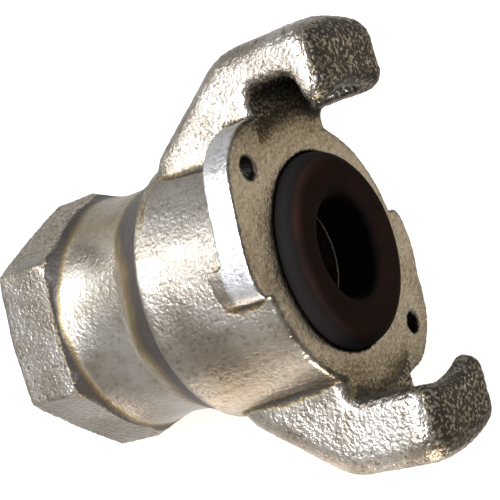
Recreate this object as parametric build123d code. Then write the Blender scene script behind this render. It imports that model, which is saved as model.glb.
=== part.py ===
from build123d import *
import math
import os

# Millimetres. The axis of the pipe is Z. The hexagonal end stands on z = 0 and the claws point up.

# Main sizes of the casting
face_height = 54.6
hex_across_flats = 38.3
hex_length = 11.3
hex_end_chamfer = 0.8
hex_shoulder_drop = 1.7
collar_radius = 20.6
collar_height = 12.7
collar_lean = 0.35
throat_radius = 19.3
throat_height = 20.2
neck_radius = 19.6
neck_height = 25.6
neck_lean = 0.1
flare_lean_low = 0.33
flare_lean_high = 0.5
drum_radius = 22.5
drum_start = 31.8
drum_step = 0.45
rim_radius = 21.2
rim_edge_radius = 0.8

# Pipe thread, air way and washer
thread_bore_radius = 11.85
thread_mouth_radius = 13.8
thread_depth = 17.0
chamber_radius = 14.6
air_way_radius = 9.5
ledge_thickness = 3.6
recess_depth = 6.0
washer_radius = 16.0
washer_hole_radius = 8.2
washer_proud = 3.2
washer_crown_radius = 14.0
washer_crown_drop = 2.8
washer_edge = 0.5
washer_gap = 0.15
groove_height = 2.4
groove_reach = 1.4

# Locking ears
ear_thickness = 4.8
ear_bump_drop = 2.8
ear_bump_angle = 177.5
ear_root_depth = 4.5
pin_circle_standoff = 0.5
pin_hole_radius = 1.75
pin_angle = 140.6

# Claws, given for the claw on the +Y side
claw_leading_angle = 36.24
claw_trailing_angle = 21.38
nose_clearance = 1.1
slot_depth = 5.3
slot_height = 8.8
arm_thickness = 6.3
lip_thickness = 4.6
claw_root_drop = 25.2
claw_root_slope = 0.7
claw_heel_out = 1.8
claw_back_slope = 1.43
claw_root_depth = 5.5
claw_sweep = 120.0
claw_heel_radius = 4.5
claw_bend_radius = 9.5
claw_corner_radius = 4.5
leading_edge_radius = 3.4
trailing_edge_radius = 4.2
leading_foot_radius = 9.0
trailing_foot_radius = 4.0
nose_edge_radius = 2.3
nose_edge_share = 0.5
nose_back_radius = 1.6
nose_back_share = 0.35
slot_corner_radius = 3.0
slot_floor_radius = 1.2
stop_angle = 80.0
slot_sweep = 100.0
fillet_share = 0.9

# Ears and claws are rooted inside the drum, and the sides of a claw meet it at its two angles.
# The lip of the claw clears the drum of the other half, and the slot behind it takes the ear
ear_inner_radius = drum_radius - ear_root_depth
pin_circle_radius = drum_radius + pin_circle_standoff
claw_inner_radius = drum_radius - claw_root_depth
claw_leading_side = drum_radius * math.sin(math.radians(claw_leading_angle))
claw_trailing_side = drum_radius * math.sin(math.radians(claw_trailing_angle))
nose_radius = drum_radius + nose_clearance
slot_radius = nose_radius + slot_depth
claw_radius = slot_radius + arm_thickness
claw_reach = slot_height + lip_thickness
nose_edge = min(nose_edge_radius, nose_edge_share * lip_thickness)
nose_back = min(nose_back_radius, nose_back_share * lip_thickness)


def at(radius, height):
    return (radius, 0, height)


def polar(radius, angle):
    turn = math.radians(angle)
    return (radius * math.cos(turn), radius * math.sin(turn))


def soften(profile, corner, radius):
    return fillet(profile.vertices().sort_by_distance(corner)[0], radius)


def round_body():
    flat = hex_across_flats / 2
    foot = at(flat - (collar_height - hex_length), hex_length)
    collar = at(collar_radius, collar_height)
    throat = at(throat_radius, throat_height)
    neck = at(neck_radius, neck_height)
    crease = at(drum_radius - drum_step, drum_start)
    lean = (-collar_lean, 0, 1)
    edge = Spline(foot, collar, tangents=((1, 0, 0.3), lean))
    waist = Spline(collar, throat, tangents=(lean, (0, 0, 1)))
    hollow = Spline(throat, neck, tangents=((0, 0, 1), (neck_lean, 0, 1)))
    flare = Spline(neck, crease, tangents=((flare_lean_low, 0, 1), (flare_lean_high, 0, 1)))
    rim = at(rim_radius, face_height)
    step = at(drum_radius, drum_start + drum_step)
    rest = Polyline(crease, step, rim, at(0, face_height), at(0, hex_length), foot)
    profile = make_face(edge + waist + hollow + flare + rest)
    return revolve(soften(profile, rim, rim_edge_radius), Axis.Z)


def hexagon():
    flat = hex_across_flats / 2
    corner = flat / math.cos(math.pi / 6)
    prism = extrude(Rot(0, 0, 30) * RegularPolygon(corner, 6), collar_height)
    envelope = Polyline(
        at(0, 0),
        at(flat, 0),
        at(corner, hex_end_chamfer),
        at(corner, hex_length - hex_shoulder_drop),
        at(collar_radius, collar_height),
        at(0, collar_height),
        at(0, 0),
    )
    return prism & revolve(make_face(envelope), Axis.Z)


def ear_outline():
    # angle of the ear's edge, from the claw round to its free end, and its radius as a share of the drum's
    return [
        (108, 1.173), (119, 1.129), (124, 1.173), (137, 1.227), (150, 1.204), (160, 1.142),
        (172, 1.107), (180, 1.093), (188, 1.067), (192.5, 1.004),
    ]


def ear():
    outline = ear_outline()
    first = outline[0][0]
    last = outline[-1][0]
    points = [polar(share * drum_radius, angle) for angle, share in outline]
    back = Polyline(
        points[-1],
        polar(ear_inner_radius, last),
        polar(ear_inner_radius, (first + last) / 2),
        polar(ear_inner_radius, first),
        points[0],
    )
    outside = make_face(Spline(*points) + back)
    deep = ear_thickness + ear_bump_drop
    thick = extrude(outside, deep)
    cut = extrude(outside, ear_bump_drop)
    reach = 2 * pin_circle_radius
    keep = Rot(0, 0, ear_bump_angle) * Box(reach, reach, reach, align=(Align.MIN, Align.MIN, Align.CENTER))
    return Pos(0, 0, face_height - deep) * (thick - (cut - keep))


def claw_profile():
    root = face_height - claw_root_drop
    top = face_height + claw_reach
    start = at(claw_inner_radius, root)
    heel_radius = drum_radius + claw_heel_out
    heel = root + claw_root_slope * (heel_radius - claw_inner_radius)
    shoulder = heel + claw_back_slope * (claw_radius - heel_radius)
    path = FilletPolyline(
        start,
        at(heel_radius, heel),
        at(claw_radius, shoulder),
        at(claw_radius, top),
        at(claw_inner_radius, top),
        radius=[claw_heel_radius, claw_bend_radius, claw_corner_radius],
    )
    return make_face(path + Line(at(claw_inner_radius, top), start))


def slot_profile():
    roof = face_height + slot_height
    pocket = Polyline(
        at(0, face_height),
        at(slot_radius, face_height),
        at(slot_radius, roof),
        at(0, roof),
        at(0, face_height),
    )
    corner = min(slot_corner_radius, fillet_share * (slot_depth - nose_back))
    profile = soften(make_face(pocket), at(slot_radius, roof), corner)
    return soften(profile, at(slot_radius, face_height), slot_floor_radius)


def claw_foot():
    # seen from outside, both lower corners of the claw are rounded where they meet the drum
    root = face_height - claw_root_drop
    top = face_height + claw_reach
    middle = (claw_trailing_side - claw_leading_side) / 2
    width = claw_leading_side + claw_trailing_side
    shape = Plane.XZ * Pos(middle, (root + top) / 2) * Rectangle(width, top - root)
    shape = soften(shape, (-claw_leading_side, 0, root), leading_foot_radius)
    shape = soften(shape, (claw_trailing_side, 0, root), trailing_foot_radius)
    return extrude(shape, -2 * claw_radius)


def round_side(bar, place, radius):
    side = bar.faces().filter_by(Plane.YZ).sort_by(Axis.X)[place]
    low = face_height - claw_root_drop
    outer = side.edges().filter_by(lambda e: e.center().Y > claw_inner_radius and e.center().Z > low)
    return fillet(outer, radius)


def round_nose(bar, height, radius):
    # the edge of the hooked lip at this height above the face
    tip = (0, nose_radius, face_height + claw_reach - nose_edge)
    nose = bar.faces().filter_by(GeomType.CYLINDER).sort_by_distance(tip)[0]
    level = face_height + height
    edges = nose.edges().filter_by(lambda e: abs(e.center().Z - level) < lip_thickness / 3)
    return fillet(edges, radius)


def claw():
    width = claw_leading_side + claw_trailing_side
    corner = (Align.MIN, Align.MIN, Align.MIN)
    slab = Pos(-claw_leading_side, 0, 0) * Box(width, 2 * claw_radius, 2 * face_height, align=corner)
    bar = Rot(0, 0, 90 - claw_sweep / 2) * revolve(claw_profile(), Axis.Z, claw_sweep) & slab
    bar = round_side(bar, 0, leading_edge_radius)
    bar = round_side(bar, -1, trailing_edge_radius)
    mouth = Pos(0, 0, face_height + claw_reach) * Cylinder(nose_radius, 2 * claw_reach)
    mouth = fillet(mouth.edges().sort_by(Axis.Z)[0], slot_floor_radius)
    bar = (bar - mouth) & claw_foot()
    bar = bar - Rot(0, 0, stop_angle) * revolve(slot_profile(), Axis.Z, slot_sweep)
    bar = round_nose(bar, claw_reach, nose_edge)
    return round_nose(bar, slot_height, nose_back)


def bore():
    ledge_low = face_height - recess_depth - ledge_thickness
    mouth = thread_mouth_radius - thread_bore_radius
    step = chamber_radius - air_way_radius
    widen = chamber_radius - thread_bore_radius
    hollow = Polyline(
        at(0, 0),
        at(thread_mouth_radius, 0),
        at(thread_bore_radius, mouth),
        at(thread_bore_radius, thread_depth),
        at(chamber_radius, thread_depth + widen),
        at(chamber_radius, ledge_low - step),
        at(air_way_radius, ledge_low),
        at(air_way_radius, face_height),
        at(0, face_height),
        at(0, 0),
    )
    return revolve(make_face(hollow), Axis.Z)


def recess():
    floor = face_height - recess_depth
    seat = washer_radius + washer_gap
    groove = seat + groove_reach
    roof = floor + groove_height + washer_gap
    hollow = Polyline(
        at(0, floor),
        at(groove, floor),
        at(groove, roof),
        at(seat, roof),
        at(seat, face_height),
        at(0, face_height),
        at(0, floor),
    )
    return revolve(make_face(hollow), Axis.Z)


def pin_hole():
    x, y = polar(pin_circle_radius, pin_angle)
    return Pos(x, y, face_height) * Cylinder(pin_hole_radius, 3 * ear_thickness)


def casting():
    body = round_body() + hexagon()
    for turn in (0, 180):
        body = body + Rot(0, 0, turn) * ear()
        body = body + Rot(0, 0, turn) * claw()
    body = body - bore() - recess()
    for turn in (0, 180):
        body = body - Rot(0, 0, turn) * pin_hole()
    return body


def washer():
    floor = face_height - recess_depth
    front = face_height + washer_proud
    foot = washer_radius + groove_reach
    shoulder = front - washer_crown_drop
    crown = TangentArc(at(washer_radius, shoulder), at(washer_crown_radius, front), tangent=(0, 0, 1))
    rest = Polyline(
        at(washer_crown_radius, front),
        at(washer_hole_radius + washer_edge, front),
        at(washer_hole_radius, front - washer_edge),
        at(washer_hole_radius, floor),
        at(foot, floor),
        at(foot, floor + groove_height),
        at(washer_radius, floor + groove_height),
        at(washer_radius, shoulder),
    )
    return revolve(make_face(crown + rest), Axis.Z)


def main():
    os.makedirs("parts", exist_ok=True)
    export_step(casting(), "parts/coupling_body.step")
    export_step(washer(), "parts/sealing_washer.step")


main()
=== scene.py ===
import math

import bmesh
import bpy
import numpy as np
from mathutils import Matrix, Vector


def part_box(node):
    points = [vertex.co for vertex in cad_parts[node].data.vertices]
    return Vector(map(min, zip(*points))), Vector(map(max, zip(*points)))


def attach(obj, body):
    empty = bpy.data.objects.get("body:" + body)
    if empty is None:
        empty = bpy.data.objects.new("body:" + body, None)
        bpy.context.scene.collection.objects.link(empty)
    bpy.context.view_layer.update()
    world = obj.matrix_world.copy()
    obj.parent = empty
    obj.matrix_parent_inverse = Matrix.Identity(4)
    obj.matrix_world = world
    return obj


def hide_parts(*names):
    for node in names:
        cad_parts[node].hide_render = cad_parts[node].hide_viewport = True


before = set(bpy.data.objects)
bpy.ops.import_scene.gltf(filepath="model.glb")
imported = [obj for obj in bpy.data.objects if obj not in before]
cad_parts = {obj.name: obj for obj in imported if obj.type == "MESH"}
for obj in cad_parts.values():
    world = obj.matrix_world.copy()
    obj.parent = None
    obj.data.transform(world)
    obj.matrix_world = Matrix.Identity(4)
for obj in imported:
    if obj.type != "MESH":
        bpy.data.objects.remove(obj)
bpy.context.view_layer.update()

mm = 0.001
axisRadius = 1e-6  # keeps a point on the axis out of a division by its radius


def linear(hexColour):
    # an sRGB hex colour as the linear one that a shader reads
    parts = [int(hexColour[k:k + 2], 16) / 255 for k in (1, 3, 5)]
    return [p / 12.92 if p <= 0.04045 else ((p + 0.055) / 1.055) ** 2.4 for p in parts] + [1.0]


def addNode(tree, kind, links=None, **settings):
    # one shader node: settings are its own fields, its sockets by name, or the (place, colour) stops of a
    # ramp; links join earlier sockets to its own. A Mix of colours has its factor at 0, colours at 6, 7
    node = tree.nodes.new(kind)
    for name, value in settings.items():
        if name == "stops":
            ramp = node.color_ramp
            while len(ramp.elements) < len(value):
                ramp.elements.new(0.5)
            for element, (place, colour) in zip(ramp.elements, value):
                element.position = place
                element.color = linear(colour)
        elif hasattr(node, name):
            setattr(node, name, value)
        else:
            node.inputs[name.replace("_", " ")].default_value = value
    for socket, source in (links or {}).items():
        tree.links.new(source, node.inputs[socket])
    return node


def startMaterial(name):
    # an empty material and its node tree
    material = bpy.data.materials.new(name)
    material.use_nodes = True
    material.node_tree.nodes.clear()
    return material, material.node_tree


def meshPiece(name, points, faces, material):
    # one closed or open surface from arrays; every face has the same number of corners
    mesh = bpy.data.meshes.new(name)
    corners = faces.shape[1]
    mesh.vertices.add(len(points))
    mesh.vertices.foreach_set("co", np.ascontiguousarray(points, np.float32).ravel())
    mesh.loops.add(faces.size)
    mesh.loops.foreach_set("vertex_index", faces.astype(np.int32).ravel())
    mesh.polygons.add(len(faces))
    mesh.polygons.foreach_set("loop_start", np.arange(0, faces.size, corners, dtype=np.int32))
    mesh.update(calc_edges=True)
    mesh.validate()
    mesh.polygons.foreach_set("use_smooth", np.ones(len(mesh.polygons), bool))
    mesh.materials.append(material)
    piece = bpy.data.objects.new(name, mesh)
    bpy.context.scene.collection.objects.link(piece)
    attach(piece, "root")
    return piece


def gridFaces(rows, columns):
    # quads of a grid whose columns close on themselves
    row, column = np.meshgrid(np.arange(rows - 1), np.arange(columns), indexing="ij")
    after = (column + 1) % columns
    a = row * columns + column
    b = row * columns + after
    return np.stack([a, b, b + columns, a + columns], -1).reshape(-1, 4)


def waveField(points, length, seed, count):
    # cosine waves in directions spread over the ball, each about `length` long, added and scaled to spread 1
    random = np.random.default_rng(seed)
    ways = random.normal(size=(count, 3))
    ways /= np.linalg.norm(ways, axis=1, keepdims=True)
    ways *= 2 * math.pi / (length * random.uniform(0.75, 1.3, (count, 1)))
    shift = random.uniform(0, 2 * math.pi, count)
    return np.cos(points @ ways.T + shift).sum(1) * math.sqrt(2 / count)


def smoothStep(value, low, high):
    # 0 at low, 1 at high, level at both ends; high may lie below low
    t = np.clip((value - low) / (high - low), 0, 1)
    return t * t * (3 - 2 * t)


def rise(value, base, limits):
    # a smooth step between two limits that are measured from a base
    return smoothStep(value, base + limits[0], base + limits[1])


# Casting: the body's own shape, with softened edges and cast grain. Heights are from the pipe end, and
# offsets from the sealing face or the drum's start. A pair is where an area starts and where it is full
casting = {
    "voxel": 0.5 * mm,
    "mergeReach": 0.002 * mm,
    "softenRounds": 1,
    "softenShare": 0.5,
    "wideRounds": 40,
    "wideShare": 0.6,
    "grainLength": 1.0 * mm,
    "grainHeight": 0.04 * mm,
    "grainSeed": 3,
    "grainWaves": 70,
    "swellLength": 7 * mm,
    "swellHeight": 0.025 * mm,
    "swellSeed": 8,
    "swellWaves": 30,
    "faceHeight": 54.6 * mm,
    "faceOffset": (-0.4 * mm, -0.1 * mm),
    "drumStart": 31.8 * mm,
    "drumOffset": (0 * mm, 1 * mm),
    "neckHeight": 25.6 * mm,
    "hexLength": 11.3 * mm,
    "hexFade": (11.0 * mm, 12.6 * mm),
    "clawRoot": (23.2 * mm, 25 * mm),
    "clawHalfWidth": 14.5 * mm,
    "clawNearest": 17 * mm,
    "clawOffset": (0.8 * mm, 2 * mm),
    "flankTurn": (0.6, 0.9),
    "coarseness": {"all": 0.4, "drum": 0.15, "hexagon": 0.3, "claws": 0.6, "flank": 0.3},
    "insideRadius": 17.6 * mm,
    "insideOffset": -0.5 * mm,
    "boreReach": 12.4 * mm,
    "boreLength": 17.0 * mm,
    "boreMargin": 0.6 * mm,
    "grooveRadius": 13.45 * mm,
}


def neighbourMean(points, edges, degree):
    # mean of each point's neighbours along the edges
    total = np.empty_like(points)
    for axis in range(3):
        total[:, axis] = np.bincount(edges[:, 0], points[edges[:, 1], axis], len(points))
        total[:, axis] += np.bincount(edges[:, 1], points[edges[:, 0], axis], len(points))
    return total / degree[:, None]


def evened(points, edges, rounds, share):
    # each round moves every point by a share of the way to its neighbours' mean
    degree = np.bincount(edges.ravel(), minlength=len(points)).astype(float)
    points = points.copy()
    for sweep in range(rounds):
        points += share * (neighbourMean(points, edges, degree) - points)
    return points


def meshArrays(mesh):
    # the mesh's points, and the two ends of each edge
    points = np.zeros(len(mesh.vertices) * 3, np.float32)
    mesh.vertices.foreach_get("co", points)
    edges = np.zeros(len(mesh.edges) * 2, np.int32)
    mesh.edges.foreach_get("vertices", edges)
    return points.reshape(-1, 3).astype(float), edges.reshape(-1, 2)


def placedNormals(mesh, points):
    # moves the mesh to the points and gives the normal at each
    mesh.vertices.foreach_set("co", np.ascontiguousarray(points, np.float32).ravel())
    mesh.update()
    normals = np.zeros(len(points) * 3, np.float32)
    mesh.vertices.foreach_get("normal", normals)
    return normals.reshape(-1, 3).astype(float)


def remeshedCopy(name, node, voxel):
    # the node's own mesh, its loose triangles merged, made again in even small faces
    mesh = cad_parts[node].data.copy()
    work = bmesh.new()
    work.from_mesh(mesh)
    bmesh.ops.remove_doubles(work, verts=work.verts, dist=casting["mergeReach"])
    work.to_mesh(mesh)
    work.free()
    copy = bpy.data.objects.new(name, mesh)
    bpy.context.scene.collection.objects.link(copy)
    remesh = copy.modifiers.new("even faces", "REMESH")
    remesh.mode = "VOXEL"
    remesh.voxel_size = voxel
    remesh.use_smooth_shade = True
    true = bpy.data.objects.new("true shape", mesh.copy())
    bpy.context.scene.collection.objects.link(true)
    cling = copy.modifiers.new("back onto the true shape", "SHRINKWRAP")
    cling.target = true
    made = bpy.data.meshes.new_from_object(copy.evaluated_get(bpy.context.evaluated_depsgraph_get()))
    bpy.data.objects.remove(copy)
    bpy.data.objects.remove(true)
    made.name = name
    return made


def castAreas(points, normals, radius):
    # the sealing face as a share from 0 to 1 over the points, and how coarse the cast grain is at each
    s = casting
    x, y, z = points.T
    claws = smoothStep(radius, *s["clawRoot"]) * (np.abs(x) < s["clawHalfWidth"])
    claws = claws * (np.abs(y) > s["clawNearest"])
    claws = np.maximum(claws, rise(z, s["faceHeight"], s["clawOffset"]))
    hexagon = 1 - smoothStep(z, *s["hexFade"])
    face = rise(z, s["faceHeight"], s["faceOffset"]) * (1 - claws)
    drum = rise(z, s["drumStart"], s["drumOffset"])
    flank = smoothStep(np.abs(normals[:, 0]), *s["flankTurn"])  # smoother than the claws' fronts and backs
    part = s["coarseness"]
    rough = part["all"] + part["drum"] * drum + part["hexagon"] * hexagon
    rough = np.clip(rough + claws * (part["claws"] - part["flank"] * flank), 0, 1)
    return face, rough


# Dirt, wear and painted light on the casting: dirt and painted shade in the creases, painted shade on areas,
# slots and pin holes, and a painted highlight on the ears' rubbed edges. A pair is where an area starts and
# where it is full.
# The ring's offset is from the hexagon's end, the throat's from the drum's start and the others from the
# sealing face
castingDirtWearAndPaintedLight = {
    "hollowGain": 2.2,
    "hollowStart": 0.1,
    # shares of each area: the hexagon's ring is rust and painted shade, the other areas are painted shade
    "dirtAndShadeShares": {"hexRing": 0.85, "throat": 0.85, "clawFront": 0.72, "face": 0.12, "beside": 0.2,
                   "sideShade": 0.34, "underNose": 0.6},
    "ringOffset": (-0.6 * mm, 0.3 * mm),
    "ringFade": (11.8 * mm, 15.5 * mm),
    "throatLead": 1 * mm,
    "throatPower": 0.5,
    "throatOffset": (0 * mm, 0.5 * mm),
    "throatRadius": 22.6 * mm,
    "clawFrontOffset": (11.2 * mm, 12.8 * mm),
    "besideRise": (13 * mm, 21 * mm),
    "inwardTurn": (0.3, 0.8),
    "noseOffset": (7.5 * mm, 9 * mm),
    # where the painted shade on the +y side starts and is full, and the height it stops at
    "sideShadeRise": (5 * mm, 15 * mm),
    "sideShadeTop": 34 * mm,
    # the pin holes, painted dark inside as shade
    "pinCentre": (-17.77 * mm, 14.6 * mm),
    "pinRadius": 1.75 * mm,
    "pinMargin": 0.25 * mm,
    "pinDepth": 4.6 * mm,
    "pinOffset": (-0.5 * mm, -0.1 * mm),
    # the slots, painted dark as their shadow, darker deeper under the hooks
    "slotRise": (20.5 * mm, 24.5 * mm),
    "slotRadius": 28.9 * mm,
    "slotHeight": 8.8 * mm,
    "slotMargin": 0.3 * mm,
    "slotTurn": (79, 150),
    "slotHalfWidth": 12.8 * mm,
    "slotShare": 0.3,
    "deepShare": 0.75,
    "deepOffset": (-1 * mm, 5 * mm),
    "lowRange": (-0.4, -1.6),
    "tipRange": (0.2, 1.5),
    "tipShares": {"clawFront": 0.6, "face": 0.3},
    # the ears' edges, rubbed and also painted with a highlight
    "earRise": (22.6 * mm, 23.2 * mm),
    "earNearest": 14 * mm,
    "earFootOffset": (-5.2 * mm, -4.6 * mm),
    "earTopOffset": (-0.4 * mm, 0 * mm),
}


def dirtAndShadeAreas(points, normals, radius, face):
    # where dirt and painted shade lie, as shares from 0 to 1: rust and painted shade in the ring above the
    # hexagon, and painted shade under the drum's edge, on the claws' fronts, the sealing face and its ends,
    # one side of the pipe end and drum, and under the claws' noses
    s, w = casting, castingDirtWearAndPaintedLight
    x, y, z = points.T
    front = s["faceHeight"]
    # the ring above the hexagon: some brown rust and painted shade of the concave fillet
    hexRing = rise(z, s["hexLength"], w["ringOffset"]) * (1 - smoothStep(z, *w["ringFade"]))
    # painted shade under the drum's edge, darkest next to it
    throat = smoothStep(z, s["neckHeight"] - w["throatLead"], s["drumStart"]) ** w["throatPower"]
    throat = throat * (1 - rise(z, s["drumStart"], w["throatOffset"])) * (radius < w["throatRadius"])
    inward = -(normals[:, 0] * x + normals[:, 1] * y) / np.maximum(radius, axisRadius)
    return {
        "hexRing": hexRing,
        "throat": throat,
        # painted shade on the claws' front faces
        "clawFront": rise(z, front, w["clawFrontOffset"]),
        # a little painted shade over the sealing face
        "face": face,
        # painted shade on the sealing face's ends beside the claws
        "beside": face * smoothStep(np.abs(y), *w["besideRise"]),
        # painted shade on the +y side of the pipe end and drum
        "sideShade": smoothStep(y, *w["sideShadeRise"]) * (z < w["sideShadeTop"]),
        # painted shadow under the claws' noses
        "underNose": smoothStep(inward, *w["inwardTurn"]) * rise(z, front, w["noseOffset"]),
    }


def dirtAndShadeIn(points, radius, hollow, areas):
    # dirt and painted shade from 0 to 1: what the hollows and areas hold, added up, with painted shade
    # darkest in the slots and pin holes
    w = castingDirtWearAndPaintedLight
    x, y, z = points.T
    front = casting["faceHeight"]
    # dirt and painted shade in the hollows: the deeper a crease, the darker
    dirtAndShade = np.clip(hollow * w["hollowGain"] - w["hollowStart"], 0, 1)
    for area, share in w["dirtAndShadeShares"].items():
        dirtAndShade = dirtAndShade + share * areas[area]
    # painted shade inside the pin holes
    pinX, pinY = w["pinCentre"]
    toPin = np.minimum(np.hypot(x - pinX, y - pinY), np.hypot(x + pinX, y + pinY))
    inPin = (toPin < w["pinRadius"] + w["pinMargin"]) * (z > front - w["pinDepth"])
    inPin = inPin * (1 - rise(z, front, w["pinOffset"]))
    # painted shadow in the slots, darkest deep under the hooks
    angle = np.degrees(np.arctan2(np.abs(y), x * np.sign(y)))  # from the closed side of each slot
    inSlot = smoothStep(radius, *w["slotRise"]) * (radius < w["slotRadius"] + w["slotMargin"])
    inSlot = inSlot * (angle > w["slotTurn"][0]) * (angle < w["slotTurn"][1])
    inSlot = inSlot * (z > front - w["slotMargin"]) * (z < front + w["slotHeight"] + w["slotMargin"])
    inSlot = inSlot * (np.abs(x) < w["slotHalfWidth"])
    deep = rise(z, front, w["deepOffset"])
    return np.clip(dirtAndShade + (w["slotShare"] + w["deepShare"] * deep) * inSlot + inPin, 0, 1)


def lighterPlatingAreas(points, radius, wave, areas):
    # the ears' edges, rubbed by the other half's claws and lighter as a painted highlight too, and the tips
    # of the grain on the fronts and the face
    w = castingDirtWearAndPaintedLight
    x, y, z = points.T
    front = casting["faceHeight"]
    # the ears' edges: rubbed wear and a painted highlight
    ears = smoothStep(radius, *w["earRise"]) * (np.abs(x) > w["earNearest"])
    ears = ears * rise(z, front, w["earFootOffset"]) * (1 - rise(z, front, w["earTopOffset"]))
    share = w["tipShares"]
    tips = smoothStep(wave, *w["tipRange"])
    return np.maximum(ears, tips * (share["clawFront"] * areas["clawFront"] + share["face"] * areas["face"]))


def makeCasting(material):
    # the skin moves along its normals by the grain and the swell; inside the bore it makes way for the thread
    s = casting
    mesh = remeshedCopy("castingSkin", "coupling_body", s["voxel"])
    points, edges = meshArrays(mesh)
    points = evened(points, edges, s["softenRounds"], s["softenShare"])
    normals = placedNormals(mesh, points)
    wide = evened(points, edges, s["wideRounds"], s["wideShare"])
    hollow = ((wide - points) * normals).sum(1) / mm
    radius = np.hypot(points[:, 0], points[:, 1])
    face, rough = castAreas(points, normals, radius)
    inside = (radius < s["insideRadius"]) & (points[:, 2] < s["faceHeight"] + s["insideOffset"])
    grain = waveField(points, s["grainLength"], s["grainSeed"], s["grainWaves"]) * s["grainHeight"] * rough
    swell = waveField(points, s["swellLength"], s["swellSeed"], s["swellWaves"]) * s["swellHeight"]
    points += normals * np.where(inside, 0, grain + swell)[:, None]
    height = points[:, 2]
    inBore = (radius < s["boreReach"]) & (height > s["boreMargin"])
    inBore = inBore & (height < s["boreLength"] + s["boreMargin"])
    points[:, :2] *= np.where(inBore, s["grooveRadius"] / np.maximum(radius, axisRadius), 1)[:, None]
    areas = dirtAndShadeAreas(points, normals, radius, face)
    stain = dirtAndShadeIn(points, radius, hollow, areas)
    wave = grain / (s["grainHeight"] * rough)
    low = smoothStep(wave, *castingDirtWearAndPaintedLight["lowRange"])  # the lows between the grains
    rubbed = lighterPlatingAreas(points, radius, wave, areas)
    lowCorner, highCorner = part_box("coupling_body")
    points = np.clip(points, np.array(lowCorner), np.array(highCorner))
    mesh.vertices.foreach_set("co", np.ascontiguousarray(points, np.float32).ravel())
    mesh.update()
    mesh.polygons.foreach_set("use_smooth", np.ones(len(mesh.polygons), bool))
    for label, values in (("stain", stain), ("rough", rough), ("lows", low), ("rubbed", rubbed)):
        attribute = mesh.attributes.new(label, "FLOAT", "POINT")
        attribute.data.foreach_set("value", values.astype(np.float32))
    mesh.materials.clear()
    mesh.materials.append(material)
    piece = bpy.data.objects.new("castingSkin", mesh)
    bpy.context.scene.collection.objects.link(piece)
    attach(piece, "root")
    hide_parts("coupling_body")
    print("casting", len(mesh.polygons), "faces")
    return piece


# Pipe thread in the hexagonal end
thread = {
    "pitch": 1.814 * mm,
    "crest": 11.88 * mm,
    "depth": 1.4 * mm,
    "start": 0.02 * mm,
    "length": 17.0 * mm,
    "overrun": 0.5 * mm,
    "mouth": 13.7 * mm,
    "steepness": 1.15,
    "crestFlat": 0.07,
    "rows": 170,
    "columns": 120,
}


def makeThread(material):
    # radius over (angle, height): a sharp wave that climbs one pitch a turn, opened by the mouth's chamfer
    s = thread
    height = np.linspace(s["start"], s["length"] + s["overrun"], s["rows"])[:, None]
    angle = np.linspace(0, 2 * math.pi, s["columns"], endpoint=False)[None, :]
    phase = (height / s["pitch"] - angle / (2 * math.pi)) % 1
    ridge = np.clip(np.abs(phase - 0.5) * 2 * s["steepness"] - s["crestFlat"], 0, 1)
    radius = s["crest"] + s["depth"] * ridge
    radius = np.maximum(radius, s["mouth"] - height)
    points = np.stack([radius * np.cos(angle), radius * np.sin(angle), height + 0 * angle], -1)
    faces = gridFaces(s["rows"], s["columns"])[:, ::-1]
    piece = meshPiece("pipeThread", points.reshape(-1, 3), faces, material)
    print("thread", len(faces), "faces")
    return piece


# Face washer of moulded rubber
washer = {
    "outer": 16.0 * mm,
    "crown": 14.0 * mm,
    "hole": 8.2 * mm,
    "foot": 17.4 * mm,
    "floor": 48.6 * mm,
    "footTop": 51.0 * mm,
    "face": 54.6 * mm,
    "front": 57.8 * mm,
    "sideRise": 0.4 * mm,
    "rimLean": 0.5 * mm,
    "rimDrop": 1.2 * mm,
    "lipWidth": 1.4 * mm,
    "lipDrop": 0.25 * mm,
    "holeDrop": 1.1 * mm,
    "cornerCut": 0.2,
    "cutRounds": 3,
    "columns": 144,
}


def makeWasher(material):
    # a profile of (radius, height) points, rounded by rounds of cutting its corners, turned about the axis
    s = washer
    profile = np.array([
        (s["hole"], s["floor"]), (s["foot"], s["floor"]), (s["foot"], s["footTop"]),
        (s["outer"], s["footTop"]), (s["outer"], s["face"] + s["sideRise"]),
        (s["outer"] - s["rimLean"], s["front"] - s["rimDrop"]), (s["crown"], s["front"]),
        (s["hole"] + s["lipWidth"], s["front"] - s["lipDrop"]), (s["hole"], s["front"] - s["holeDrop"]),
    ])
    cut = s["cornerCut"]
    for sweep in range(s["cutRounds"]):
        after = np.roll(profile, -1, axis=0)
        corners = [(1 - cut) * profile + cut * after, cut * profile + (1 - cut) * after]
        profile = np.stack(corners, 1).reshape(-1, 2)
    rows, columns = len(profile) + 1, s["columns"]
    radius, height = np.vstack([profile, profile[:1]]).T[:, :, None]
    angle = np.linspace(0, 2 * math.pi, columns, endpoint=False)[None, :]
    points = np.stack([radius * np.cos(angle), radius * np.sin(angle), height + 0 * angle], -1)
    points = points[:-1].reshape(-1, 3)
    faces = gridFaces(rows, columns) % len(points)
    piece = meshPiece("faceWasher", points, faces, material)
    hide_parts("sealing_washer")
    print("washer", len(faces), "faces")
    return piece


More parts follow.
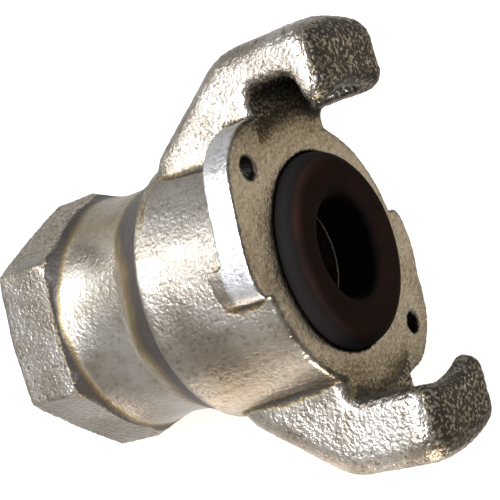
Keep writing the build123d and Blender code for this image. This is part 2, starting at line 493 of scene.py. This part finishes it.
# The casting's finish; each size is the width of one cloud, pit or grain. The finest real pits and grit are
# too small to show, so both are drawn as coarse as they need to show
platedIron = {
    "plating": [(0.35, "#585249"), (0.5, "#67625A"), (0.65, "#736F69")],
    # lighter plating for the ears' rubbed edges, also a painted highlight, and the grain's tips
    "rubbed": "#8F8F8F",
    # olive brown to near black for dirt and painted shade
    "dirtAndShade": [(0.15, "#6C6349"), (0.45, "#463A20"), (0.9, "#150F08")],
    "pitShade": [(0.0, "#FFFFFF"), (0.8, "#9C9486")],
    "cloudSize": 9 * mm,
    "pitSize": 0.6 * mm,
    "pitDepth": 0.25 * mm,
    "gritSize": 0.4 * mm,
    "gritDepth": 0.03 * mm,
    "holdRange": (0.33, 0.67),
    "holdGain": 1.4,
    "sandyFrom": 0.42,
    "edgeMiddle": 0.5,
    "edgeReach": 0.7,
    "dirtAndShadeRange": (0.12, 0.75),
    "coverFull": 0.6,
    "pitRange": (0.6, 0.4),
    "smoothest": 0.4,
    "shine": 0.3,
    "blasted": 0.41,
    "dullness": 0.6,
    "metalUnderDirtAndShade": 0.6,
}


def makePlatedIron():
    # bright zinc plating over a shot-blasted malleable iron casting: a warm grey metal with sharp sparkling
    # grain, olive brown for dirt and painted shade in the creases, painted shade on the claws' front faces
    # and other areas, and lighter on the ears' edges for wear and a painted highlight
    s = platedIron
    material, tree = startMaterial("zincPlatedMalleableIron")
    place = addNode(tree, "ShaderNodeTexCoord").outputs["Object"]
    stain = addNode(tree, "ShaderNodeAttribute", attribute_name="stain").outputs["Fac"]
    rough = addNode(tree, "ShaderNodeAttribute", attribute_name="rough").outputs["Fac"]
    broad = addNode(tree, "ShaderNodeTexNoise", {"Vector": place}, Scale=1 / s["cloudSize"], Detail=3.0)
    broad = broad.outputs["Fac"]
    pitted = addNode(tree, "ShaderNodeTexNoise", {"Vector": place}, Scale=1 / s["pitSize"], Detail=2.0)
    pitted = pitted.outputs["Fac"]
    fine = addNode(tree, "ShaderNodeTexNoise", {"Vector": place}, Scale=1 / s["gritSize"], Detail=1.0)
    dull = addNode(tree, "ShaderNodeValToRGB", {"Fac": broad}, stops=s["plating"]).outputs["Color"]
    rubbed = addNode(tree, "ShaderNodeAttribute", attribute_name="rubbed").outputs["Fac"]
    plating = addNode(tree, "ShaderNodeMix", {0: rubbed, 6: dull}, data_type="RGBA")
    plating.inputs[7].default_value = linear(s["rubbed"])

    # dirt and painted shade keep to the pits of the coarse grain, and broad clouds make their edge ragged
    edge = addNode(tree, "ShaderNodeMath", {0: broad}, operation="SUBTRACT")
    edge.inputs[1].default_value = s["edgeMiddle"]
    hold = addNode(tree, "ShaderNodeMapRange", {"Value": pitted}, From_Min=s["holdRange"][0],
                   From_Max=s["holdRange"][1], To_Min=s["holdGain"], To_Max=-s["holdGain"])
    sandy = addNode(tree, "ShaderNodeMapRange", {"Value": rough}, From_Min=s["sandyFrom"])
    held = addNode(tree, "ShaderNodeMath", {0: hold.outputs[0], 1: sandy.outputs[0]},
                   operation="MULTIPLY_ADD")
    held.inputs[2].default_value = 1.0
    kept = addNode(tree, "ShaderNodeMath", {0: stain, 1: held.outputs[0]}, operation="MULTIPLY")
    reach = addNode(tree, "ShaderNodeMath", {0: edge.outputs[0], 2: kept.outputs[0]},
                    operation="MULTIPLY_ADD")
    reach.inputs[1].default_value = s["edgeReach"]
    dirtAndShadeLevel = addNode(tree, "ShaderNodeMapRange", {"Value": reach.outputs[0]},
                    From_Min=s["dirtAndShadeRange"][0], From_Max=s["dirtAndShadeRange"][1]).outputs[0]
    cover = addNode(tree, "ShaderNodeMapRange", {"Value": dirtAndShadeLevel}, From_Max=s["coverFull"],
                    interpolation_type="SMOOTHSTEP").outputs[0]
    dirtAndShadeColour = addNode(tree, "ShaderNodeValToRGB", {"Fac": dirtAndShadeLevel}, stops=s["dirtAndShade"]).outputs["Color"]
    coated = addNode(tree, "ShaderNodeMix", {0: cover, 6: plating.outputs[2], 7: dirtAndShadeColour}, data_type="RGBA")

    # the lows between the grains are darker
    lows = addNode(tree, "ShaderNodeAttribute", attribute_name="lows").outputs["Fac"]
    sharp = addNode(tree, "ShaderNodeMapRange", {"Value": pitted},
                    From_Min=s["pitRange"][0], From_Max=s["pitRange"][1]).outputs[0]
    pit = addNode(tree, "ShaderNodeMath", {0: lows, 1: sharp}, operation="MULTIPLY").outputs[0]
    deep = addNode(tree, "ShaderNodeValToRGB", {"Fac": pit}, stops=s["pitShade"]).outputs["Color"]
    colour = addNode(tree, "ShaderNodeMix", {0: rough, 6: coated.outputs[2], 7: deep}, data_type="RGBA",
                     blend_type="MULTIPLY")

    # coarse grain, dirt and painted shade are duller than the plain plating, and thick dirt and painted shade
    # hide the metal
    clean = addNode(tree, "ShaderNodeMapRange", {"Value": rough}, From_Min=s["smoothest"],
                    To_Min=s["shine"], To_Max=s["blasted"])
    shine = addNode(tree, "ShaderNodeMapRange", {"Value": dirtAndShadeLevel, "To Min": clean.outputs[0]},
                    To_Max=s["dullness"])
    coarse = addNode(tree, "ShaderNodeBump", {"Height": pitted, "Strength": rough}, Distance=s["pitDepth"])
    bump = addNode(tree, "ShaderNodeBump", {"Height": fine.outputs["Fac"], "Normal": coarse.outputs[0]},
                   Distance=s["gritDepth"])
    bare = addNode(tree, "ShaderNodeMapRange", {"Value": dirtAndShadeLevel}, To_Min=1.0, To_Max=s["metalUnderDirtAndShade"])
    surface = addNode(tree, "ShaderNodeBsdfPrincipled", {
        "Base Color": colour.outputs[2], "Metallic": bare.outputs[0], "Roughness": shine.outputs[0],
        "Normal": bump.outputs[0],
    })
    addNode(tree, "ShaderNodeOutputMaterial", {"Surface": surface.outputs[0]})
    return material


# The rubber's finish; the wear lies on the front face only, between two heights. Its real moulded grain is
# too fine to show, so it is drawn as coarse as it needs to show
rubberFinish = {
    "wear": [(0.15, "#050302"), (0.65, "#1E0C06")],
    "wearRange": (56.6 * mm, 57.7 * mm),
    "cloudSize": 5 * mm,
    "fineSize": 0.45 * mm,
    "fineDepth": 0.05 * mm,
    "fineStrength": 0.35,
    "dullness": 0.9,
    "sheen": 0.08,
}


def makeRubber():
    # moulded nitrile rubber: nearly black, brown where the face has been rubbed, with a dull sheen
    s = rubberFinish
    material, tree = startMaterial("mouldedNitrileRubber")
    place = addNode(tree, "ShaderNodeTexCoord").outputs["Object"]
    parts = addNode(tree, "ShaderNodeSeparateXYZ", {0: place})
    front = addNode(tree, "ShaderNodeMapRange", {"Value": parts.outputs[2]},
                    From_Min=s["wearRange"][0], From_Max=s["wearRange"][1])
    cloud = addNode(tree, "ShaderNodeTexNoise", {"Vector": place}, Scale=1 / s["cloudSize"], Detail=4.0)
    worn = addNode(tree, "ShaderNodeMath", {0: front.outputs[0], 1: cloud.outputs["Fac"]},
                   operation="MULTIPLY")
    colour = addNode(tree, "ShaderNodeValToRGB", {"Fac": worn.outputs[0]}, stops=s["wear"])
    fine = addNode(tree, "ShaderNodeTexNoise", {"Vector": place}, Scale=1 / s["fineSize"], Detail=2.0)
    bump = addNode(tree, "ShaderNodeBump", {"Height": fine.outputs["Fac"]}, Strength=s["fineStrength"],
                   Distance=s["fineDepth"])
    surface = addNode(tree, "ShaderNodeBsdfPrincipled", {
        "Base Color": colour.outputs["Color"], "Normal": bump.outputs[0],
    }, Roughness=s["dullness"])
    surface.inputs["Specular IOR Level"].default_value = s["sheen"]
    addNode(tree, "ShaderNodeOutputMaterial", {"Surface": surface.outputs[0]})
    return material


# Floor, room light and lamps; places and sizes in metres. The two pools light only the floor beside the
# coupling, which its plated walls mirror
studio = {
    "floorSize": 3.0,
    "floorDrop": 0.02 * mm,
    "floorColour": "#E6E6E4",
    "floorGlow": 0.55,
    "roomColour": "#EFEBE3",
    "roomLight": 0.28,
    "roomSeen": 0.72,
    "lamps": {
        "side window": {
            "place": (-0.58, 0.12, 0.055), "aim": (0, 0, 0.035), "size": (0.3, 0.1), "spread": 180,
            "power": 25.0, "colour": "#EEF2FF",
        },
        "low panel": {
            "place": (0.06, -0.6, 0.07), "aim": (0, 0, 0.035), "size": (0.3, 0.1), "spread": 180,
            "power": 8.0, "colour": "#FFF0DE",
        },
        "back panel": {
            "place": (0.75, 0.1, 0.6), "aim": (0, 0, 0.035), "size": (0.5, 0.5), "spread": 180,
            "power": 1.9, "colour": "#FFEBC8",
        },
        "floor pool": {
            "place": (-0.06, 0.03, 0.35), "aim": (-0.06, 0.03, 0), "size": (0.03, 0.03), "spread": 7,
            "power": 0.085, "colour": "#F4F8FF",
        },
        "warm pool": {
            "place": (0.0, -0.074, 0.35), "aim": (0.0, -0.074, 0), "size": (0.05, 0.02), "spread": 7,
            "power": 0.032, "colour": "#FFE9CE",
        },
    },
}


def seenLevel(tree, unseen, seen):
    # one level for the light that a surface gets, another for what the eye, a gloss or a glass shows
    rays = addNode(tree, "ShaderNodeLightPath").outputs
    both = addNode(tree, "ShaderNodeMath", {0: rays["Is Camera Ray"], 1: rays["Is Glossy Ray"]},
                   operation="MAXIMUM")
    every = addNode(tree, "ShaderNodeMath", {0: both.outputs[0], 1: rays["Is Transmission Ray"]},
                    operation="MAXIMUM")
    return addNode(tree, "ShaderNodeMapRange", {"Value": every.outputs[0]}, To_Min=unseen, To_Max=seen)


def makeFloor():
    # a flat square card that scatters light and glows a little where it is seen
    s = studio
    half = s["floorSize"] / 2
    material, tree = startMaterial("paleStudioFloor")
    glow = seenLevel(tree, 0.0, s["floorGlow"])
    card = addNode(tree, "ShaderNodeBsdfDiffuse", Color=linear(s["floorColour"]))
    light = addNode(tree, "ShaderNodeEmission", {"Strength": glow.outputs[0]}, Color=(1, 1, 1, 1))
    both = addNode(tree, "ShaderNodeAddShader", {0: card.outputs[0], 1: light.outputs[0]})
    addNode(tree, "ShaderNodeOutputMaterial", {"Surface": both.outputs[0]})
    mesh = bpy.data.meshes.new("floor")
    corners = [(-half, -half, 0), (half, -half, 0), (half, half, 0), (-half, half, 0)]
    mesh.from_pydata(corners, [], [(0, 1, 2, 3)])
    mesh.materials.append(material)
    floor = bpy.data.objects.new("floor", mesh)
    floor.location.z = -s["floorDrop"]
    bpy.context.scene.collection.objects.link(floor)


def makeLights():
    # the room as an even world, and the lamps, each turned towards its aim
    s = studio
    world = bpy.data.worlds.new("studioRoom")
    world.use_nodes = True
    tree = world.node_tree
    backdrop = tree.nodes["Background"]
    backdrop.inputs["Color"].default_value = linear(s["roomColour"])
    tree.links.new(seenLevel(tree, s["roomLight"], s["roomSeen"]).outputs[0], backdrop.inputs["Strength"])
    bpy.context.scene.world = world
    for name, lamp in s["lamps"].items():
        light = bpy.data.lights.new(name, "AREA")
        light.shape = "RECTANGLE"
        light.size, light.size_y = lamp["size"]
        light.spread = math.radians(lamp["spread"])
        light.energy = lamp["power"]
        light.color = linear(lamp["colour"])[:3]
        holder = bpy.data.objects.new(name, light)
        holder.location = lamp["place"]
        away = Vector(lamp["aim"]) - holder.location
        holder.rotation_euler = away.to_track_quat("-Z", "Y").to_euler()
        bpy.context.scene.collection.objects.link(holder)


# The photograph's view: a camera fitted to the coupling's outline, both pin holes and the rings of the drum
# and the neck. Its place, lens, sensor and clip are in mm
view = {
    "place": (-184.23, -7.93, 165.32),
    "ahead": (0.8231, 0.0537, -0.56535),
    "up": (0.1084, 0.96236, 0.24924),
    "lens": 98.32,
    "sensor": 36.0,
    "clipStart": 10,
}


def makeCamera():
    # the camera looks ahead, with its right and up made square to that
    back = -Vector(view["ahead"]).normalized()
    right = Vector(view["up"]).cross(back).normalized()
    up = back.cross(right)
    camera = bpy.data.cameras.new("camera")
    camera.lens = view["lens"]
    camera.sensor_width = view["sensor"]
    camera.clip_start = view["clipStart"] * mm
    holder = bpy.data.objects.new("camera", camera)
    turn = Matrix((right, up, back)).transposed().to_4x4()
    holder.matrix_world = Matrix.Translation(Vector(view["place"]) * mm) @ turn
    bpy.context.scene.collection.objects.link(holder)
    bpy.context.scene.camera = holder


plated = makePlatedIron()
makeCasting(plated)
makeThread(plated)
makeWasher(makeRubber())
makeFloor()
makeLights()
makeCamera()
bpy.context.scene.view_settings.view_transform = "Standard"
print("scene made")
